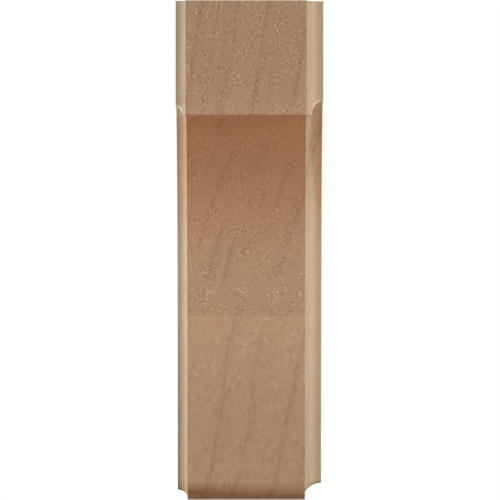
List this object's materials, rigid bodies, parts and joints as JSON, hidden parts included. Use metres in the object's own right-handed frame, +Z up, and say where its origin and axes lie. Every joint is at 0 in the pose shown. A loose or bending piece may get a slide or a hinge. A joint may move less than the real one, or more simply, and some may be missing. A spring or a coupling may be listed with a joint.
{
  "type": "wooden corbel",
  "caption": "Plain wooden wall corbel: square top block stepping back to a concave sweep and a long leg with a rounded foot, with a cove along each front edge.",
  "frame": {"origin": "centre of the flat wall face at the back, where the corbel is fixed", "axes": "+Z up along the height, +Y into the wall, the carved front looks along -Y, +X to the right seen from the front"},
  "size_m": [0.0888, 0.1524, 0.3048],
  "materials": {
    "wood": "bare sanded hardwood, matte, with fine open pores and slanted grain lines"
  },
  "bodies": {
    "root": {"corbel": "wood"}
  },
  "joints": []
}
